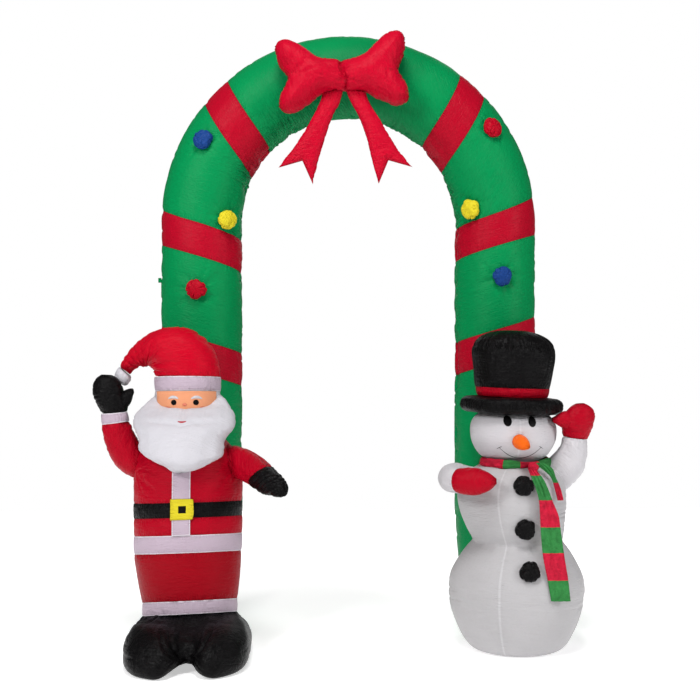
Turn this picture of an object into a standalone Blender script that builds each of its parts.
"""A walk-through festive arch of blown-up cloth. A bearded figure in a red coat and a snowman stand before
its two legs, with a bow on top and six gathered ornaments. Metres, +Z up, and the front faces -Y."""

import math
from collections import namedtuple

import bmesh
import bpy
from mathutils import Matrix, Vector

# Driving sizes of the arch.
TOTAL_HEIGHT = 2.43
TUBE_RADIUS = 0.167
ARCH_RADIUS = 0.608  # of the tube's centreline over the top
LEG_HEIGHT = TOTAL_HEIGHT - ARCH_RADIUS - TUBE_RADIUS
TUBE_LENGTH = 2 * LEG_HEIGHT + math.pi * ARCH_RADIUS
FOOT_ROUNDING = 0.05  # each leg's closed end draws in over this height
FOOT_TAPER, TAPER_HEIGHT = 0.055, 0.50  # a leg is that much thinner at its foot, from this height down

# The red bands of the tube slant: each is higher on the arch's outer side than on its inner side.
BAND_WIDTH = 0.133
BAND_SLANT = 0.058
BAND_TWIST = 0.45  # how far a band's edge is from a plain slanting cut, towards a screw thread's
LEFT_BANDS = (1.110, 1.575, LEG_HEIGHT + 0.419)  # the middle of each, along the tube from the left foot
RIGHT_BANDS = (1.155, 1.625, LEG_HEIGHT + 0.463)  # the same from the right foot
SEAM_PINCH = 0.0035  # a seam draws the tube in this much
SEAM_REACH = 0.022  # over this length on each side of it

SEAM_GAP = 0.0005  # between pieces that are sewn to each other
CUT_GAP = 0.0006  # between pieces that press on each other
CLOTH = 0.002  # the thickness of a piece sewn flat onto another
PATCH_LIFT = 0.0024  # between a flat piece and the curved body that it is sewn to
TUBE_SIDES = 24
BODY_SIDES = 24
BOOT_SIDES = 32
FRONT = Vector((0, -1, 0))

# The bearded figure leans back on the left leg, and its rings tilt with it: lean and roll are in degrees.
HEM_LOW, HEM_HIGH = 0.132, 0.181
TRIM_LOW, TRIM_HIGH = 0.361, 0.4285
BELT_LOW, BELT_HIGH = 0.495, 0.551
NECK, BROW, HAT_BAND_TOP = 0.81, 0.972, 1.027
SNOWMAN_HEAD_TILT = math.radians(2)

Level = namedtuple("Level", "z x y half_width half_depth lean roll", defaults=(0, 0))
Section = namedtuple("Section", "left_x left_z right_x right_z y half_depth")
Station = namedtuple("Station", "x y z half_side half_front")
Boot = namedtuple("Boot", "z half_width front back cleft lean")
Edge = namedtuple("Edge", "middle side slant")
Lobe = namedtuple("Lobe", "out half_height half_depth")
Fold = namedtuple("Fold", "z left_x right_x y")

SANTA_LEVELS = (
    Level(0.132, -0.6145, -0.368, 0.1795, 0.165, 12.5, 2.4),
    Level(0.181, -0.6150, -0.362, 0.1805, 0.167, 12.0, 2.3),
    Level(0.270, -0.6200, -0.355, 0.1930, 0.178, 10.5, 2.0),
    Level(0.361, -0.6245, -0.347, 0.2035, 0.186, 9.0, 1.8),
    Level(0.428, -0.6245, -0.342, 0.2055, 0.189, 8.0, 1.6),
    Level(0.550, -0.6250, -0.335, 0.2070, 0.190, 6.5, 1.3),
    Level(0.640, -0.6270, -0.330, 0.2090, 0.190, 6.0, 0.8),
    Level(0.700, -0.6280, -0.325, 0.2020, 0.182, 6.0, 0.4),
    Level(0.745, -0.6290, -0.320, 0.1830, 0.163, 5.5, 0.0),
    Level(0.785, -0.6300, -0.310, 0.1500, 0.138, 5.0, 0.0),
    Level(0.810, -0.6310, -0.302, 0.1250, 0.118, 5.0, 0.0),
    Level(0.870, -0.6320, -0.297, 0.1220, 0.118, 4.0, 0.0),
    Level(0.972, -0.6325, -0.295, 0.1265, 0.120, 3.0, 0.0),
    Level(1.027, -0.6325, -0.296, 0.1285, 0.121, 3.0, 0.0),
)
SANTA_HAT = (
    Section(-0.761, 1.0275, -0.504, 1.0275, -0.296, 0.121),
    Section(-0.768, 1.046, -0.514, 1.098, -0.297, 0.122),
    Section(-0.771, 1.059, -0.563, 1.176, -0.298, 0.120),
    Section(-0.777, 1.065, -0.640, 1.217, -0.299, 0.112),
    Section(-0.788, 1.067, -0.732, 1.216, -0.300, 0.092),
    Section(-0.802, 1.066, -0.812, 1.172, -0.300, 0.066),
    Section(-0.820, 1.062, -0.852, 1.134, -0.300, 0.046),
    Section(-0.837, 1.050, -0.874, 1.097, -0.300, 0.034),
    Section(-0.851, 1.037, -0.888, 1.063, -0.300, 0.026),
)
SANTA_HAT_TIP = (
    Section(-0.8525, 1.036, -0.8895, 1.062, -0.300, 0.026),
    Section(-0.849, 1.022, -0.903, 1.050, -0.300, 0.033),
    Section(-0.853, 1.006, -0.908, 1.033, -0.300, 0.034),
    Section(-0.866, 0.996, -0.900, 1.012, -0.300, 0.024),
    Section(-0.878, 0.997, -0.890, 1.003, -0.300, 0.010),
)
SANTA_BEARD = (
    Level(0.684, -0.644, -0.545, 0.014, 0.012),
    Level(0.691, -0.643, -0.536, 0.040, 0.032),
    Level(0.706, -0.642, -0.523, 0.076, 0.056),
    Level(0.727, -0.641, -0.505, 0.115, 0.080),
    Level(0.755, -0.638, -0.480, 0.142, 0.100),
    Level(0.797, -0.634, -0.440, 0.160, 0.120),
    Level(0.841, -0.634, -0.392, 0.190, 0.136),
    Level(0.862, -0.634, -0.365, 0.189, 0.138),
    Level(0.888, -0.631, -0.332, 0.164, 0.126),
    Level(0.903, -0.630, -0.316, 0.146, 0.118),
    Level(0.911, -0.630, -0.306, 0.122, 0.106),
)
SANTA_BOOTS = (
    Boot(0.098, 0.212, -0.705, -0.205, 0.19, 9.0),
    Boot(0.070, 0.223, -0.764, -0.205, 0.27, 5.5),
    Boot(0.045, 0.2235, -0.790, -0.207, 0.29, 3.0),
    Boot(0.021, 0.219, -0.797, -0.212, 0.29, 1.0),
    Boot(0.006, 0.207, -0.790, -0.222, 0.28, 0.0),
    Boot(0.000, 0.192, -0.777, -0.236, 0.28, 0.0),
)
SANTA_RAISED_ARM = (
    Section(-0.820, 0.640, -0.740, 0.750, -0.340, 0.060),
    Section(-0.852, 0.652, -0.772, 0.752, -0.340, 0.058),
    Section(-0.895, 0.686, -0.797, 0.767, -0.341, 0.056),
    Section(-0.928, 0.741, -0.817, 0.796, -0.342, 0.054),
    Section(-0.946, 0.806, -0.833, 0.828, -0.343, 0.052),
    Section(-0.952, 0.847, -0.846, 0.861, -0.344, 0.050),
    Section(-0.954, 0.889, -0.854, 0.897, -0.345, 0.048),
)
SANTA_RAISED_PALM = (
    Section(-0.954, 0.890, -0.854, 0.898, -0.345, 0.048),
    Section(-0.971, 0.930, -0.853, 0.930, -0.347, 0.050),
    Section(-0.984, 0.965, -0.862, 0.962, -0.349, 0.048),
    Section(-0.984, 0.998, -0.874, 0.996, -0.350, 0.043),
    Section(-0.971, 1.024, -0.890, 1.022, -0.350, 0.034),
    Section(-0.952, 1.038, -0.912, 1.036, -0.350, 0.018),
)
SANTA_RAISED_THUMB = (
    Section(-0.890, 0.968, -0.880, 0.905, -0.349, 0.030),
    Section(-0.868, 0.978, -0.857, 0.910, -0.352, 0.028),
    Section(-0.847, 0.985, -0.838, 0.936, -0.354, 0.020),
    Section(-0.832, 0.985, -0.828, 0.968, -0.355, 0.008),
)
SANTA_LOWERED_ARM = (
    Station(-0.490, -0.350, 0.710, 0.066, 0.062),
    Station(-0.430, -0.390, 0.704, 0.062, 0.058),
    Station(-0.384, -0.445, 0.692, 0.058, 0.055),
    Station(-0.338, -0.517, 0.669, 0.054, 0.052),
)
SANTA_LOWERED_MITTEN = (
    Station(-0.316, -0.560, 0.658, 0.052, 0.046),
    Station(-0.288, -0.604, 0.648, 0.045, 0.039),
    Station(-0.263, -0.641, 0.633, 0.032, 0.028),
    Station(-0.249, -0.662, 0.623, 0.012, 0.011),
)
SNOWMAN_BODY = (
    Level(0.000, 0.6235, -0.385, 0.150, 0.140),
    Level(0.010, 0.6235, -0.385, 0.174, 0.162),
    Level(0.035, 0.6235, -0.385, 0.198, 0.184),
    Level(0.072, 0.6235, -0.385, 0.2185, 0.203),
    Level(0.120, 0.6235, -0.385, 0.238, 0.220),
    Level(0.170, 0.6235, -0.385, 0.251, 0.231),
    Level(0.220, 0.6235, -0.385, 0.2555, 0.236),
    Level(0.270, 0.6240, -0.384, 0.251, 0.231),
    Level(0.315, 0.6255, -0.381, 0.233, 0.214),
    Level(0.364, 0.6290, -0.375, 0.203, 0.187),
    Level(0.392, 0.6310, -0.370, 0.180, 0.167),
    Level(0.405, 0.6315, -0.368, 0.171, 0.159),
    Level(0.419, 0.6300, -0.366, 0.174, 0.162),
    Level(0.450, 0.6245, -0.361, 0.185, 0.173),
    Level(0.509, 0.6165, -0.355, 0.200, 0.187),
    Level(0.570, 0.6135, -0.350, 0.2085, 0.194),
    Level(0.625, 0.6170, -0.346, 0.201, 0.187),
    Level(0.665, 0.6250, -0.342, 0.174, 0.162),
    Level(0.685, 0.6290, -0.340, 0.147, 0.138),
    Level(0.697, 0.6310, -0.339, 0.118, 0.110),
)
# The snowman's head and hat are modelled upright about the head's middle, and tilt together.
SNOWMAN_HEAD_MIDDLE = Vector((0.6225, -0.328, 0.80))
SNOWMAN_HEAD = (
    Level(-0.098, 0, 0, 0.072, 0.067),
    Level(-0.089, 0, 0, 0.103, 0.096),
    Level(-0.073, 0, 0, 0.129, 0.121),
    Level(-0.043, 0, 0, 0.150, 0.141),
    Level(-0.012, 0, 0, 0.1630, 0.153),
    Level(0.020, 0, 0, 0.1660, 0.156),
    Level(0.045, 0, 0, 0.1635, 0.154),
    Level(0.070, 0, 0, 0.151, 0.142),
    Level(0.086, 0, 0, 0.134, 0.126),
)
SNOWMAN_BRIM = (
    Level(0.0865, -0.009, 0, 0.150, 0.144),
    Level(0.0900, -0.009, 0, 0.177, 0.170),
    Level(0.1030, -0.009, 0, 0.195, 0.188),
    Level(0.1190, -0.009, 0, 0.200, 0.193),
    Level(0.1350, -0.009, 0, 0.195, 0.188),
    Level(0.1475, -0.009, 0, 0.178, 0.171),
    Level(0.1515, -0.009, 0, 0.150, 0.144),
)
SNOWMAN_HAT_BAND = (Level(0.152, -0.009, 0, 0.1370, 0.1320), Level(0.186, -0.009, 0, 0.1445, 0.1390))
SNOWMAN_HAT = (
    Level(0.1865, -0.009, 0, 0.1446, 0.139),
    Level(0.2500, -0.009, 0, 0.1525, 0.146),
    Level(0.3050, -0.009, 0, 0.1600, 0.154),
    Level(0.3280, -0.009, 0, 0.1610, 0.155),
    Level(0.3500, -0.009, 0, 0.1540, 0.148),
    Level(0.3750, -0.010, 0, 0.1340, 0.129),
    Level(0.3930, -0.010, 0, 0.1030, 0.099),
    Level(0.4040, -0.011, 0, 0.0600, 0.058),
    Level(0.4070, -0.011, 0, 0.0200, 0.019),
)
SNOWMAN_RAISED_ARM = (
    Section(0.730, 0.692, 0.798, 0.575, -0.352, 0.068),
    Section(0.755, 0.713, 0.853, 0.622, -0.358, 0.064),
    Section(0.778, 0.738, 0.887, 0.673, -0.368, 0.058),
    Section(0.795, 0.770, 0.898, 0.729, -0.382, 0.052),
    Section(0.799, 0.800, 0.895, 0.789, -0.395, 0.048),
)
SNOWMAN_RAISED_PALM = (
    Section(0.799, 0.801, 0.895, 0.790, -0.395, 0.048),
    Section(0.794, 0.835, 0.908, 0.829, -0.408, 0.050),
    Section(0.796, 0.868, 0.918, 0.868, -0.418, 0.048),
    Section(0.803, 0.895, 0.914, 0.902, -0.422, 0.042),
    Section(0.821, 0.915, 0.893, 0.923, -0.424, 0.032),
    Section(0.843, 0.928, 0.874, 0.930, -0.425, 0.016),
)
SNOWMAN_RAISED_THUMB = (
    Section(0.833, 0.826, 0.833, 0.902, -0.424, 0.030),
    Section(0.799, 0.831, 0.797, 0.900, -0.427, 0.028),
    Section(0.772, 0.846, 0.770, 0.889, -0.430, 0.021),
    Section(0.752, 0.861, 0.752, 0.876, -0.432, 0.009),
)
SNOWMAN_FOLDED_ARM = (
    Station(0.475, -0.360, 0.628, 0.052, 0.056),
    Station(0.408, -0.384, 0.645, 0.054, 0.055),
    Station(0.374, -0.430, 0.650, 0.053, 0.053),
    Station(0.372, -0.480, 0.650, 0.051, 0.051),
    Station(0.391, -0.520, 0.650, 0.049, 0.048),
)
SNOWMAN_FOLDED_MITTEN = (
    Station(0.425, -0.549, 0.650, 0.052, 0.046),
    Station(0.464, -0.566, 0.651, 0.046, 0.040),
    Station(0.497, -0.575, 0.653, 0.028, 0.026),
    Station(0.515, -0.579, 0.654, 0.010, 0.010),
)
SNOWMAN_NOSE = (
    Station(0.6170, -0.462, 0.790, 0.0270, 0.0275),
    Station(0.6185, -0.490, 0.788, 0.0275, 0.0280),
    Station(0.6215, -0.512, 0.785, 0.0250, 0.0255),
    Station(0.6290, -0.548, 0.780, 0.0165, 0.0165),
    Station(0.6335, -0.568, 0.777, 0.0090, 0.0090),
    Station(0.6355, -0.576, 0.776, 0.0030, 0.0030),
)
SCARF_LONG_TAIL = (
    Fold(0.694, 0.6430, 0.667, -0.505),
    Fold(0.660, 0.6510, 0.692, -0.538),
    Fold(0.620, 0.6640, 0.709, -0.556),
    Fold(0.579, 0.6730, 0.723, -0.564),
    Fold(0.526, 0.6760, 0.744, -0.566),
    Fold(0.480, 0.6780, 0.751, -0.567),
    Fold(0.385, 0.6840, 0.762, -0.578),
    Fold(0.300, 0.6950, 0.770, -0.606),
    Fold(0.225, 0.7060, 0.776, -0.617),
)
SCARF_SHORT_TAIL = (
    Fold(0.712, 0.6740, 0.708, -0.494),
    Fold(0.690, 0.6970, 0.738, -0.497),
    Fold(0.660, 0.7290, 0.748, -0.503),
    Fold(0.620, 0.7420, 0.764, -0.510),
    Fold(0.574, 0.7530, 0.776, -0.512),
)
BOW_MIDDLE = Vector((-0.034, -0.222, 2.214))
BOW_TILT = math.radians(-4)
BOW_HOLLOW = 0.044  # how far the middle of a loop's end stands back from its corners
BOW_LEFT_GROWTH, BOW_LEFT_RISE = 0.97, 0.012
BOW_RIGHT_GROWTH, BOW_RIGHT_RISE = 0.99, 0.020  # the right loop is the larger and the higher
BOW_LOBE = (
    Lobe(0.000, 0.061, 0.048),
    Lobe(0.012, 0.064, 0.054),
    Lobe(0.050, 0.068, 0.064),
    Lobe(0.095, 0.079, 0.074),
    Lobe(0.130, 0.107, 0.076),
    Lobe(0.168, 0.131, 0.066),
    Lobe(0.202, 0.146, 0.050),
    Lobe(0.228, 0.149, 0.031),
    Lobe(0.246, 0.143, 0.014),
    Lobe(0.256, 0.130, 0.003),
)
BOW_TAIL_NOTCH = 0.066
BOW_LEFT_TAIL = (
    Section(-0.112, 2.150, -0.030, 2.160, -0.214, 0.014),
    Section(-0.118, 2.122, -0.040, 2.122, -0.216, 0.017),
    Section(-0.148, 2.060, -0.070, 2.052, -0.218, 0.020),
    Section(-0.190, 1.985, -0.101, 1.968, -0.218, 0.021),
    Section(-0.238, 1.918, -0.127, 1.878, -0.217, 0.020),
    Section(-0.264, 1.884, -0.139, 1.830, -0.216, 0.014),
    Section(-0.286, 1.851, -0.150, 1.786, -0.216, 0.004),
)
BOW_RIGHT_TAIL = (
    Section(-0.020, 2.160, 0.062, 2.150, -0.214, 0.014),
    Section(-0.006, 2.122, 0.070, 2.122, -0.216, 0.017),
    Section(0.030, 2.050, 0.111, 2.052, -0.218, 0.020),
    Section(0.061, 1.965, 0.150, 1.982, -0.218, 0.021),
    Section(0.086, 1.872, 0.192, 1.922, -0.217, 0.020),
    Section(0.098, 1.828, 0.218, 1.888, -0.216, 0.014),
    Section(0.110, 1.790, 0.244, 1.857, -0.216, 0.004),
)
ORNAMENT_RADIUS = 0.040
ORNAMENT_PUFF = 0.020
ORNAMENTS = {  # name: (x, z, colour)
    "left_blue": (-0.587, 1.970, "blue"),
    "left_yellow": (-0.498, 1.657, "yellow"),
    "left_red": (-0.613, 1.374, "scarlet"),
    "right_red": (0.570, 2.026, "scarlet"),
    "right_yellow": (0.491, 1.706, "yellow"),
    "right_blue": (0.611, 1.431, "blue"),
}
BUTTON_RADIUS = 0.038
BUTTON_PUFF = 0.019
BUTTONS = {"upper": (0.622, 0.627), "middle": (0.628, 0.472), "lower": (0.633, 0.323)}  # name: (x, z)

SRGB = {
    "green": (0, 134, 70),
    "band_red": (168, 16, 42),
    "bow": (214, 20, 52),
    "scarlet": (200, 6, 40),
    "black": (24, 24, 25),
    "white": (226, 226, 232),
    "snow": (206, 205, 209),
    "scarf": (208, 26, 54),
    "trim": (214, 204, 219),
    "skin": (233, 168, 126),
    "yellow": (228, 205, 30),
    "blue": (24, 58, 140),
    "orange": (246, 126, 32),
}


def clear_scene():
    for obj in list(bpy.data.objects):
        bpy.data.objects.remove(obj, do_unlink=True)


def linear(value):
    """A colour channel from 0 to 255 as light."""
    share = value / 255
    return share / 12.92 if share <= 0.04045 else ((share + 0.055) / 1.055) ** 2.4


def make_fabrics():
    """One woven-polyester material for each colour of cloth."""
    fabrics = {}
    for name, channels in SRGB.items():
        material = bpy.data.materials.new("fabric_" + name)
        material.use_nodes = True
        shader = material.node_tree.nodes["Principled BSDF"]
        shader.inputs["Base Color"].default_value = (*(linear(c) for c in channels), 1)
        shader.inputs["Roughness"].default_value = 0.55
        shader.inputs["Metallic"].default_value = 0
        fabrics[name] = material
    return fabrics


def smoothed(rows, steps):
    """The rows of a table with that many even steps from each to the next, along a smooth curve."""
    made = []
    ends = [rows[0], *rows, rows[-1]]
    for before, start, end, after in zip(ends, ends[1:], ends[2:], ends[3:]):
        for step in range(steps):
            t = step / steps
            values = []
            for a, b, c, d in zip(before, start, end, after):
                bend = (c - a) * t + (2 * a - 5 * b + 4 * c - d) * t**2 + (3 * b - a - 3 * c + d) * t**3
                values.append(b + bend / 2)
            made.append(type(start)(*values))
    return [*made, rows[-1]]


def level_at(levels, z):
    """The level of a body at any height between its lowest and its highest."""
    fine = smoothed(levels, 6)
    for below, above in zip(fine, fine[1:]):
        if z <= above.z:
            break
    share = (z - below.z) / (above.z - below.z)
    return Level(*(a + (b - a) * share for a, b in zip(below, above)))


def angles(sides):
    return [2 * math.pi * k / sides for k in range(sides)]


def leaning_front(lean):
    """The way that the front of a ring faces on a body that leans back by that many degrees."""
    lean = math.radians(lean)
    return Vector((0, -math.cos(lean), math.sin(lean)))


def level_point(level, across, forward):
    """A point of an upright body's ring, whose edge is where across and forward lie on a unit circle."""
    roll = math.radians(level.roll)
    side = Vector((math.cos(roll), 0, math.sin(roll))) * (level.half_width * across)
    front = leaning_front(level.lean) * (level.half_depth * forward)
    return Vector((level.x, level.y, level.z)) + side + front


def level_ring(level, sides=BODY_SIDES):
    return [level_point(level, math.cos(a), math.sin(a)) for a in angles(sides)]


def section_ring(section, sides, lean=0):
    """An ellipse between the two edges that a piece shows from the front."""
    left = Vector((section.left_x, section.y, section.left_z))
    right = Vector((section.right_x, section.y, section.right_z))
    centre, across = (left + right) / 2, (right - left) / 2
    front = leaning_front(lean) * section.half_depth
    return [centre + across * math.cos(a) + front * math.sin(a) for a in angles(sides)]


def station_rings(stations, sides):
    """Ellipses square to a path through space, for an arm that reaches forward."""
    points = [Vector(s[:3]) for s in stations]
    front = FRONT
    rings = []
    for k, (station, point) in enumerate(zip(stations, points)):
        along = (points[min(k + 1, len(points) - 1)] - points[max(k - 1, 0)]).normalized()
        front = (front - along * front.dot(along)).normalized()
        side = along.cross(front) * station.half_side
        across = front * station.half_front
        rings.append([point + side * math.cos(a) + across * math.sin(a) for a in angles(sides)])
    return rings


def new_object(name, mesh, fabric, parent):
    obj = bpy.data.objects.new(name, mesh)
    bpy.context.scene.collection.objects.link(obj)
    obj.parent = parent
    mesh.materials.clear()
    mesh.materials.append(fabric)
    mesh.shade_smooth()
    mesh.set_sharp_from_angle(angle=math.radians(50))
    return obj


def loft(name, rings, fabric, parent):
    """A filled solid through rings of points, its ends closed to the middle between front and back."""
    bm = bmesh.new()
    loops = [[bm.verts.new(point) for point in ring] for ring in rings]
    for lower, upper in zip(loops, loops[1:]):
        for k in range(len(lower)):
            n = (k + 1) % len(lower)
            bm.faces.new((lower[k], lower[n], upper[n], upper[k]))
    for loop in (loops[0], loops[-1]):
        quarter = len(loop) // 4
        middle = bm.verts.new((loop[quarter].co + loop[-quarter].co) / 2)
        for k in range(len(loop)):
            bm.faces.new((loop[k], loop[(k + 1) % len(loop)], middle))
    bmesh.ops.recalc_face_normals(bm, faces=bm.faces)
    mesh = bpy.data.meshes.new(name)
    bm.to_mesh(mesh)
    bm.free()
    return new_object(name, mesh, fabric, parent)


def settle(obj):
    """Makes what the modifiers show into the object's own mesh."""
    bpy.context.view_layer.update()
    evaluated = obj.evaluated_get(bpy.context.evaluated_depsgraph_get())
    mesh = bpy.data.meshes.new_from_object(evaluated)
    obj.modifiers.clear()
    obj.data = mesh


def swollen_copy(obj, gap):
    """A copy of a piece, larger by the gap all round, to cut a neighbour with."""
    copy = bpy.data.objects.new("cutter", obj.data.copy())
    bpy.context.scene.collection.objects.link(copy)
    copy.matrix_world = obj.matrix_world
    bm = bmesh.new()
    bm.from_mesh(copy.data)
    bm.normal_update()
    moves = [(v, v.normal * gap) for v in bm.verts]
    for vertex, move in moves:
        vertex.co += move
    bm.to_mesh(copy.data)
    bm.free()
    return copy


def combine(piece, other, operation):
    modifier = piece.modifiers.new(operation.lower(), "BOOLEAN")
    modifier.operation = operation
    modifier.solver = "EXACT"
    modifier.object = other
    settle(piece)
    bpy.data.objects.remove(other, do_unlink=True)


def keep_largest(obj):
    """Drops the scraps that a cut leaves loose from the piece."""
    bm = bmesh.new()
    bm.from_mesh(obj.data)
    islands = []
    waiting = set(bm.verts)
    while waiting:
        edge_of = [waiting.pop()]
        island = set(edge_of)
        while edge_of:
            for edge in edge_of.pop().link_edges:
                for vertex in edge.verts:
                    if vertex in waiting:
                        waiting.remove(vertex)
                        island.add(vertex)
                        edge_of.append(vertex)
        islands.append(island)
    islands.sort(key=len)
    for island in islands[:-1]:
        bmesh.ops.delete(bm, geom=list(island), context="VERTS")
    bm.to_mesh(obj.data)
    bm.free()


def cut_clear(piece, neighbours, gap=CUT_GAP):
    """Takes from a piece what lies in its neighbours, and a gap more."""
    for neighbour in neighbours:
        bpy.context.view_layer.update()
        combine(piece, swollen_copy(neighbour, gap), "DIFFERENCE")
    keep_largest(piece)


def flat_piece(name, grid, fabric, parent, thickness=CLOTH):
    """A sheet of cloth on rows of points, thickened to its front."""
    bm = bmesh.new()
    rows = [[bm.verts.new(point) for point in row] for row in grid]
    for upper, lower in zip(rows, rows[1:]):
        for k in range(len(upper) - 1):
            bm.faces.new((upper[k], lower[k], lower[k + 1], upper[k + 1]))
    bm.normal_update()
    if sum(face.normal.y for face in bm.faces) > 0:
        bmesh.ops.reverse_faces(bm, faces=bm.faces)
    mesh = bpy.data.meshes.new(name)
    bm.to_mesh(mesh)
    bm.free()
    sheet = new_object(name, mesh, fabric, parent)
    solidify = sheet.modifiers.new("thickness", "SOLIDIFY")
    solidify.thickness = thickness
    solidify.offset = 1
    solidify.use_even_offset = True
    settle(sheet)
    return sheet


def puff(name, radius, thickness, fabric, parent):
    """A small round stuffed piece about the origin, flat to its front and back."""
    bpy.ops.mesh.primitive_uv_sphere_add(segments=16, ring_count=8, radius=1)
    obj = bpy.context.active_object
    mesh = obj.data
    bpy.data.objects.remove(obj, do_unlink=True)
    mesh.transform(Matrix.Diagonal((radius, radius, thickness, 1)))
    return new_object(name, mesh, fabric, parent)


def tube_frame(along):
    """The centre of the tube at a length from the left foot, with its outward direction there."""
    turn = min(max((along - LEG_HEIGHT) / ARCH_RADIUS, 0), math.pi)
    straight = along - LEG_HEIGHT - turn * ARCH_RADIUS
    outward = Vector((-math.cos(turn), 0, math.sin(turn)))
    forward = Vector((math.sin(turn), 0, math.cos(turn)))
    return Vector((0, 0, LEG_HEIGHT)) + outward * ARCH_RADIUS + forward * straight, outward


def tube_radius(along, seam_distance):
    """The tube's radius: smaller at a seam, and drawn in to a round end at each foot."""
    from_floor = min(along, TUBE_LENGTH - along)
    drawn_in = max(FOOT_ROUNDING - from_floor, 0)
    foot = FOOT_ROUNDING - math.sqrt(FOOT_ROUNDING**2 - drawn_in**2)
    taper = FOOT_TAPER * max(1 - from_floor / TAPER_HEIGHT, 0) ** 1.5
    pinch = SEAM_PINCH * max(1 - seam_distance / SEAM_REACH, 0) ** 2
    return TUBE_RADIUS - foot - taper - pinch


def slant_share(angle):
    """How far a slanting edge has risen round the tube: 1 on its outer side and -1 on its inner side."""
    off = abs((angle + math.pi) % (2 * math.pi) - math.pi)
    return (1 - BAND_TWIST) * math.cos(angle) + BAND_TWIST * (1 - 2 * off / math.pi)


def edge_place(edge, angle):
    """Where a panel's edge lies along the tube, at an angle round it from the arch's outer side."""
    over_top = LEG_HEIGHT < edge.middle < TUBE_LENGTH - LEG_HEIGHT
    stretch = 1 + TUBE_RADIUS / ARCH_RADIUS * math.cos(angle) if over_top else 1
    return edge.middle + edge.slant * slant_share(angle) + edge.side * BAND_WIDTH / 2 / stretch


def panel_shares(length, at_left_foot, at_right_foot, over_top):
    """How far along a panel its rings lie: near its seams, over its bend and round a foot."""
    spans = max(round(length / 0.11), 1) if over_top else 1
    seam = SEAM_REACH / length
    shares = [0, *(seam + (1 - 2 * seam) * k / spans for k in range(spans + 1)), 1]
    rises = [FOOT_ROUNDING * rise / length for rise in (0.08, 0.29, 0.62, 1)]
    rises += [TAPER_HEIGHT * rise / length for rise in (0.25, 0.45, 0.70, 1)]
    if at_left_foot:
        shares[1:2] = rises
    if at_right_foot:
        shares[-2:-1] = [1 - rise for rise in reversed(rises)]
    return shares


def tube_panel(name, low_edge, high_edge, fabric, parent):
    """One panel of the tube between two edges."""
    at_left_foot, at_right_foot = not low_edge.side, not high_edge.side
    length = high_edge.middle - low_edge.middle - BAND_WIDTH * (low_edge.side - high_edge.side) / 2
    over_top = high_edge.middle > LEG_HEIGHT and low_edge.middle < TUBE_LENGTH - LEG_HEIGHT
    rings = []
    for share in panel_shares(length, at_left_foot, at_right_foot, over_top):
        ring = []
        for angle in angles(TUBE_SIDES):
            low = edge_place(low_edge, angle) + (0 if at_left_foot else SEAM_GAP / 2)
            high = edge_place(high_edge, angle) - (0 if at_right_foot else SEAM_GAP / 2)
            along = low + (high - low) * share
            to_low = length if at_left_foot else along - low
            to_high = length if at_right_foot else high - along
            centre, outward = tube_frame(along)
            radial = outward * math.cos(angle) + FRONT * math.sin(angle)
            ring.append(centre + radial * tube_radius(along, min(to_low, to_high)))
        rings.append(ring)
    return loft(name, rings, fabric, parent)


def build_arch(fabrics, parent):
    """The tube as its sewn panels from the left foot to the right one, green and red in turn."""
    greens = ["arch_foot_left", "arch_green_left_1", "arch_green_left_2", "arch_green_top"]
    greens += ["arch_green_right_2", "arch_green_right_1", "arch_foot_right"]
    bands = [("arch_band_left_%d" % k, middle, BAND_SLANT) for k, middle in enumerate(LEFT_BANDS, 1)]
    for k in (3, 2, 1):
        bands.append(("arch_band_right_%d" % k, TUBE_LENGTH - RIGHT_BANDS[k - 1], -BAND_SLANT))
    edges = [Edge(0, 0, 0)]
    for _, middle, slant in bands:
        edges += [Edge(middle, -1, slant), Edge(middle, 1, slant)]
    edges.append(Edge(TUBE_LENGTH, 0, 0))
    panels = {}
    for k, name in enumerate(greens):
        panels[name] = tube_panel(name, edges[2 * k], edges[2 * k + 1], fabrics["green"], parent)
    for k, (name, _, _) in enumerate(bands):
        panels[name] = tube_panel(name, edges[2 * k + 1], edges[2 * k + 2], fabrics["band_red"], parent)
    return panels


def build_tie_loop(fabrics, parent):
    """The tape loop for a guy line on the left leg's outer side, open from top to bottom."""
    reach, tape_width, opening, z, turn = 0.013, 0.019, 0.0065, 1.419, math.radians(13)
    bpy.ops.mesh.primitive_cube_add(size=1)
    obj = bpy.context.active_object
    mesh = obj.data
    bpy.data.objects.remove(obj, do_unlink=True)
    mesh.transform(Matrix.Diagonal((reach, opening + 2 * CLOTH, tape_width, 1)))
    tie_loop = new_object("tie_loop", mesh, fabrics["green"], parent)
    bevel = tie_loop.modifiers.new("fold", "BEVEL")
    bevel.width = 0.0022
    bevel.segments = 2
    settle(tie_loop)
    bpy.ops.mesh.primitive_cylinder_add(vertices=12, radius=opening / 2, depth=2 * tape_width)
    hole = bpy.context.active_object
    hole.scale = (1.3, 1, 1)
    bpy.context.view_layer.update()
    combine(tie_loop, hole, "DIFFERENCE")
    outward = Vector((-math.cos(turn), -math.sin(turn), 0))
    from_axis = TUBE_RADIUS + SEAM_GAP + reach / 2
    tie_loop.location = Vector((-ARCH_RADIUS, 0, z)) + outward * from_axis
    tie_loop.rotation_euler = (0, 0, turn)


def tube_front(x, z):
    """The point on the front of the tube before (x, z), and the direction that the tube faces there."""
    if z > LEG_HEIGHT:
        from_middle = Vector((x, 0, z - LEG_HEIGHT))
        centre = from_middle.normalized() * ARCH_RADIUS + Vector((0, 0, LEG_HEIGHT))
    else:
        centre = Vector((math.copysign(ARCH_RADIUS, x), 0, z))
    aside = Vector((x, 0, z)) - centre
    out = FRONT * math.sqrt(TUBE_RADIUS**2 - aside.length**2)
    return centre + aside + out, (aside + out).normalized()


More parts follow.
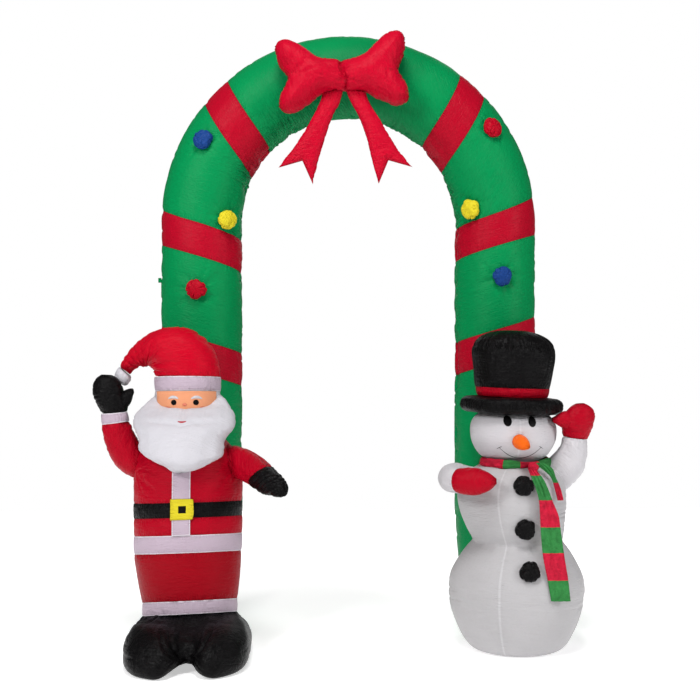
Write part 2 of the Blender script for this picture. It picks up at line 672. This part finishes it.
def place_puff(name, radius, thickness, place, facing, fabric, parent, under):
    """A round stuffed piece sewn on where the surface under it faces that way."""
    piece = puff(name, radius, thickness, fabric, parent)
    piece.rotation_mode = "QUATERNION"
    piece.rotation_quaternion = facing.to_track_quat("Z", "Y")
    piece.location = place + facing * thickness * 0.4
    cut_clear(piece, under)
    return piece


def build_ornaments(fabrics, parent, panels):
    for name, (x, z, colour) in ORNAMENTS.items():
        place, facing = tube_front(x, z)
        side = "left" if x < 0 else "right"
        height = 1 if z < 1.5 else 2
        under = [panels["arch_green_%s_%d" % (side, height)]]
        fabric = fabrics[colour]
        place_puff("ornament_" + name, ORNAMENT_RADIUS, ORNAMENT_PUFF, place, facing, fabric, parent, under)


def build_bow(fabrics, parent, panels):
    """Two stuffed loops with a drawn-in middle, and two flat stuffed tails with swallow-tail ends."""
    rings = []
    for side, rows in ((-1, BOW_LOBE[:0:-1]), (1, BOW_LOBE)):
        for row in rows:
            ring = []
            for angle in angles(20):
                height, depth = math.cos(angle), math.sin(angle)
                hollow = BOW_HOLLOW * (1 - height**2) ** 2 * (row.out / BOW_LOBE[-1].out) ** 3
                growth = BOW_RIGHT_GROWTH if side > 0 else BOW_LEFT_GROWTH
                rise = BOW_RIGHT_RISE if side > 0 else BOW_LEFT_RISE
                z = height * row.half_height * growth + rise * row.out / BOW_LOBE[-1].out
                ring.append(Vector((side * (row.out - hollow), -depth * row.half_depth, z)))
            rings.append(ring)
    loops = loft("bow_loops", rings, fabrics["bow"], parent)
    loops.location = BOW_MIDDLE
    loops.rotation_euler = (0, BOW_TILT, 0)
    cut_clear(loops, [panels["arch_green_top"]])
    for name, sections in (("bow_tail_left", BOW_LEFT_TAIL), ("bow_tail_right", BOW_RIGHT_TAIL)):
        top, tip = sections[0], sections[-1]
        down = Vector((tip.left_x + tip.right_x - top.left_x - top.right_x, 0, 0))
        down.z = tip.left_z + tip.right_z - top.left_z - top.right_z
        rings = []
        for k, section in enumerate(sections):
            share = max(k / (len(sections) - 1) - 0.5, 0) / 0.5
            lift = -down.normalized() * BOW_TAIL_NOTCH * share
            ring = section_ring(section, 16)
            rings.append([p + lift * (1 - abs(math.cos(a))) for p, a in zip(ring, angles(16))])
        tail = loft(name, rings, fabrics["bow"], parent)
        cut_clear(tail, [loops])


def santa_ring(z):
    return level_ring(level_at(SANTA_LEVELS, z))


def santa_slice(name, low, high, spans, fabric, parent):
    """The stretch of the leaning body between two heights."""
    low, high = low + SEAM_GAP / 2, high - SEAM_GAP / 2
    return loft(name, [santa_ring(low + (high - low) * k / spans) for k in range(spans + 1)], fabric, parent)


def build_boots(fabric, parent):
    """Both boots as one stuffed piece, with a cleft before and behind, and raised between the feet."""
    middle_x, cleft_x, cleft_width, lift, lift_width = -0.602, 0.011, 0.050, 0.022, 0.110
    rings = [level_ring(level_at(SANTA_LEVELS, HEM_LOW), BOOT_SIDES)]
    rings[0] = [point - Vector((0, 0, SEAM_GAP)) for point in rings[0]]
    rows = [(boot, 1) for boot in SANTA_BOOTS]
    rows += [(SANTA_BOOTS[-1], scale) for scale in (0.75, 0.5, 0.25)]
    for boot, scale in rows:
        middle_y, half_length = (boot.front + boot.back) / 2, (boot.back - boot.front) / 2
        ring = []
        for angle in angles(BOOT_SIDES):
            x = boot.half_width * math.cos(angle)
            cleft = 1 - boot.cleft * math.exp(-(((x - cleft_x) / cleft_width) ** 2))
            full = math.copysign(math.sqrt(abs(math.sin(angle))), math.sin(angle))
            reach = half_length * full * cleft * scale
            x = (x - cleft_x) * scale + cleft_x
            rise = lift * max(1 - ((x - cleft_x) / lift_width) ** 2, 0) ** 2
            rise *= 1 - boot.z / SANTA_BOOTS[0].z
            ring.append(Vector((middle_x + x, middle_y, boot.z + rise)) + leaning_front(boot.lean) * reach)
        rings.append(ring)
    return loft("santa_boots", rings, fabric, parent)


def santa_front(x, z, lift):
    """A point before the leaning body's surface, and the body's rings that far up."""
    level = level_at(SANTA_LEVELS, z)
    side = (x - level.x) / level.half_width
    out = math.sqrt(1 - side**2)
    facing = Vector((side / level.half_width, -out / level.half_depth, 0)).normalized()
    return level_point(level, side, out) + facing * lift


def santa_patch(name, x_low, x_high, z_low, z_high, across, up, fabric, parent, lift=PATCH_LIFT):
    """A flat piece sewn on the figure's front."""
    grid = []
    for row in range(up + 1):
        z = z_low + (z_high - z_low) * row / up
        grid.append([santa_front(x_low + (x_high - x_low) * k / across, z, lift) for k in range(across + 1)])
    return flat_piece(name, grid, fabric, parent)


def build_beard(fabric, parent):
    """The beard with its side whiskers, which rise beside the face, and the moustache that stands out."""
    whisker_rise, moustache_z, moustache_out = 0.052, 0.8875, 0.010
    rings = []
    for level in SANTA_BEARD:
        ring = []
        for point, angle in zip(level_ring(level), angles(BODY_SIDES)):
            side = abs(math.cos(angle))
            if point.y > level.y:
                point.y = level.y + 0.3 * (point.y - level.y)
            share = max(level.z - 0.83, 0) / (SANTA_BEARD[-1].z - 0.83)
            rise = Vector((0, 0, whisker_rise * share * side**4))
            bulge = moustache_out * math.exp(-(((level.z - moustache_z) / 0.018) ** 2))
            lobes = math.exp(-(((side - 0.35) / 0.3) ** 2)) * max(math.sin(angle), 0)
            ring.append(point + rise + FRONT * bulge * lobes)
        rings.append(ring)
    return loft("santa_beard", rings, fabric, parent)


def section_piece(name, sections, sides, fabric, parent, lean=0):
    return loft(name, [section_ring(s, sides, lean) for s in sections], fabric, parent)


def arm_and_mitten(side_name, arm, hand, fabrics, parent):
    """An arm that reaches forward, and the mitten sewn to its end."""
    rings = station_rings([*arm, *hand], 16)
    cuff = rings[len(arm) - 1]
    outward = (Vector(hand[0][:3]) - Vector(arm[-1][:3])).normalized()
    sleeve = loft(side_name + "_arm", rings[: len(arm)], fabrics[0], parent)
    start = [point + outward * SEAM_GAP for point in cuff]
    loft(side_name + "_mitten", [start, *rings[len(arm) :]], fabrics[1], parent)
    return sleeve


def mitten(name, palm, thumb, fabric, parent):
    """A mitten and its thumb, joined in one stuffed piece."""
    piece = section_piece(name, palm, 16, fabric, parent)
    bpy.context.view_layer.update()
    combine(piece, section_piece(name + "_thumb", thumb, 12, fabric, parent), "UNION")
    return piece


def after_seam(section):
    """The same section a seam's gap higher."""
    return section._replace(left_z=section.left_z + SEAM_GAP, right_z=section.right_z + SEAM_GAP)


def build_santa(fabrics, parent, leg):
    scarlet, trim, black, white = (fabrics[c] for c in ("scarlet", "trim", "black", "white"))
    build_boots(black, parent)
    santa_slice("santa_hem_trim", HEM_LOW, HEM_HIGH, 1, trim, parent)
    skirt = santa_slice("santa_skirt", HEM_HIGH, TRIM_LOW, 3, scarlet, parent)
    waist_trim = santa_slice("santa_waist_trim", TRIM_LOW, TRIM_HIGH, 2, trim, parent)
    waist = santa_slice("santa_waist", TRIM_HIGH, BELT_LOW, 2, scarlet, parent)
    belt = santa_slice("santa_belt", BELT_LOW, BELT_HIGH, 2, black, parent)
    chest = santa_slice("santa_chest", BELT_HIGH, NECK, 7, scarlet, parent)
    for piece in (skirt, waist_trim, waist, belt, chest):
        cut_clear(piece, [leg])
    head = santa_slice("santa_head", NECK, BROW, 4, white, parent)
    santa_slice("santa_hat_band", BROW, HAT_BAND_TOP, 2, trim, parent)
    face = santa_patch("santa_face", -0.739, -0.520, 0.880, BROW - 0.001, 10, 3, fabrics["skin"], parent)
    upper = santa_patch("santa_placket_upper", -0.663, -0.597, BELT_HIGH, 0.70, 3, 5, trim, parent)
    santa_patch("santa_placket_lower", -0.663, -0.597, TRIM_HIGH, BELT_LOW, 3, 3, trim, parent)
    buckle_lift = PATCH_LIFT + CLOTH + CUT_GAP
    buckle = (-0.668, -0.585, 0.4875, 0.5665)
    santa_patch("santa_buckle", *buckle, 4, 4, fabrics["yellow"], parent, buckle_lift)
    hat_lean = SANTA_LEVELS[-1].lean
    section_piece("santa_hat", SANTA_HAT, 20, scarlet, parent, hat_lean)
    section_piece("santa_hat_tip", SANTA_HAT_TIP, 12, white, parent, hat_lean)
    raised_arm = section_piece("santa_raised_arm", SANTA_RAISED_ARM[:-1], 16, scarlet, parent)
    cuff = (after_seam(SANTA_RAISED_ARM[-2]), SANTA_RAISED_ARM[-1])
    section_piece("santa_raised_cuff", cuff, 16, trim, parent)
    mitten("santa_raised_mitten", SANTA_RAISED_PALM, SANTA_RAISED_THUMB, black, parent)
    lowered = (SANTA_LOWERED_ARM, SANTA_LOWERED_MITTEN, (scarlet, black))
    lowered_arm = arm_and_mitten("santa_lowered", *lowered, parent)
    for arm in (raised_arm, lowered_arm):
        cut_clear(arm, [chest])
    cut_clear(build_beard(white, parent), [head, chest, face, upper, raised_arm])


def snowman_front(x, z):
    """The point on the snowman's front before (x, z), and the direction that the body faces there."""
    points = []
    for up in (-0.004, 0, 0.004):
        level = level_at(SNOWMAN_BODY, z + up)
        side = (x - level.x) / level.half_width
        points.append(Vector((x, level.y - level.half_depth * math.sqrt(1 - side**2), z + up)))
    upward = points[2] - points[0]
    across = Vector((math.sqrt(1 - side**2) * level.half_width, side * level.half_depth, 0))
    return points[1], across.cross(upward).normalized()


def flat_tail(name, folds, fabric, parent):
    """A strip of cloth that hangs before the body, on a fold across it for each row."""
    grid = [[Vector((f.left_x + (f.right_x - f.left_x) * k / 2, f.y, f.z)) for k in range(3)] for f in folds]
    return flat_piece(name, grid, fabric, parent)


def build_scarf(fabric, parent, neighbours):
    """The scarf: a stuffed roll round the neck with its knot, and two flat tails that hang from the knot."""
    roll_middle = Vector((0.629, -0.340, 0.701))
    roll, roll_height, knot_turn = Vector((0.124, 0.124)), 0.019, math.radians(-72)
    bpy.ops.mesh.primitive_torus_add(
        major_segments=24, minor_segments=10, major_radius=1, minor_radius=0.12
    )
    obj = bpy.context.active_object
    mesh = obj.data
    bpy.data.objects.remove(obj, do_unlink=True)
    for vertex in mesh.vertices:
        x, y, z = vertex.co
        off_knot = (math.atan2(y, x) - knot_turn) / 0.5
        narrowing = 1 - 0.45 * math.exp(-(off_knot**2))
        vertex.co = (x * roll.x, y * roll.y, z / 0.12 * roll_height * narrowing)
    wrap = new_object("snowman_scarf_wrap", mesh, fabric, parent)
    wrap.location = roll_middle
    knot = puff("knot", 0.022, 0.016, fabric, parent)
    knot.rotation_euler = (math.radians(90), 0, math.radians(17))
    knot.location = (0.667, -0.493, 0.697)
    bpy.context.view_layer.update()
    combine(wrap, knot, "UNION")
    cut_clear(wrap, neighbours)
    for name, folds in (("long", SCARF_LONG_TAIL), ("short", SCARF_SHORT_TAIL)):
        tail = flat_tail("snowman_scarf_%s_tail" % name, folds, fabric, parent)
        cut_clear(tail, [wrap])


def build_snowman(fabrics, parent, leg):
    snow, black = fabrics["snow"], fabrics["black"]
    body = loft("snowman_body", [level_ring(level) for level in SNOWMAN_BODY], snow, parent)
    cut_clear(body, [leg])
    pieces = {}
    for name, levels, colour in (
        ("snowman_head", SNOWMAN_HEAD, "snow"),
        ("snowman_hat_brim", SNOWMAN_BRIM, "black"),
        ("snowman_hat_band", SNOWMAN_HAT_BAND, "scarlet"),
        ("snowman_hat", SNOWMAN_HAT, "black"),
    ):
        piece = loft(name, [level_ring(level) for level in levels], fabrics[colour], parent)
        piece.location = SNOWMAN_HEAD_MIDDLE
        piece.rotation_euler = (0, SNOWMAN_HEAD_TILT, 0)
        cut_clear(piece, [leg])
        pieces[name] = piece
    head = pieces["snowman_head"]
    nose = loft("snowman_nose", station_rings(SNOWMAN_NOSE, 12), fabrics["orange"], parent)
    cut_clear(nose, [head])
    for name, (x, z) in BUTTONS.items():
        place, facing = snowman_front(x, z)
        name = "snowman_button_" + name
        place_puff(name, BUTTON_RADIUS, BUTTON_PUFF, place, facing, black, parent, [body])
    raised_arm = section_piece("snowman_raised_arm", SNOWMAN_RAISED_ARM, 16, snow, parent)
    mitten("snowman_raised_mitten", SNOWMAN_RAISED_PALM, SNOWMAN_RAISED_THUMB, fabrics["scarlet"], parent)
    folded = (SNOWMAN_FOLDED_ARM, SNOWMAN_FOLDED_MITTEN, (snow, fabrics["scarlet"]))
    folded_arm = arm_and_mitten("snowman_folded", *folded, parent)
    for arm in (raised_arm, folded_arm):
        cut_clear(arm, [body])
    build_scarf(fabrics["scarf"], parent, [body, head, folded_arm, raised_arm])


def centre_on_footprint(parent):
    """Moves everything together so that the origin is on the floor, in the middle of the space it takes."""
    bpy.context.view_layer.update()
    corners = [o.matrix_world @ Vector(c) for o in bpy.data.objects if o.type == "MESH" for c in o.bound_box]
    for axis in (0, 1):
        places = [corner[axis] for corner in corners]
        parent.location[axis] -= (min(places) + max(places)) / 2


def into_collection(name):
    """Puts every piece in the collection named for the object."""
    collection = bpy.data.collections.new(name)
    bpy.context.scene.collection.children.link(collection)
    for obj in bpy.data.objects:
        bpy.context.scene.collection.objects.unlink(obj)
        collection.objects.link(obj)


def main():
    clear_scene()
    fabrics = make_fabrics()
    middle = bpy.data.objects.new("arch_middle", None)
    bpy.context.scene.collection.objects.link(middle)
    panels = build_arch(fabrics, middle)
    build_tie_loop(fabrics, middle)
    build_ornaments(fabrics, middle, panels)
    build_bow(fabrics, middle, panels)
    build_santa(fabrics, middle, panels["arch_foot_left"])
    build_snowman(fabrics, middle, panels["arch_foot_right"])
    centre_on_footprint(middle)
    into_collection("inflatable_arch")


main()
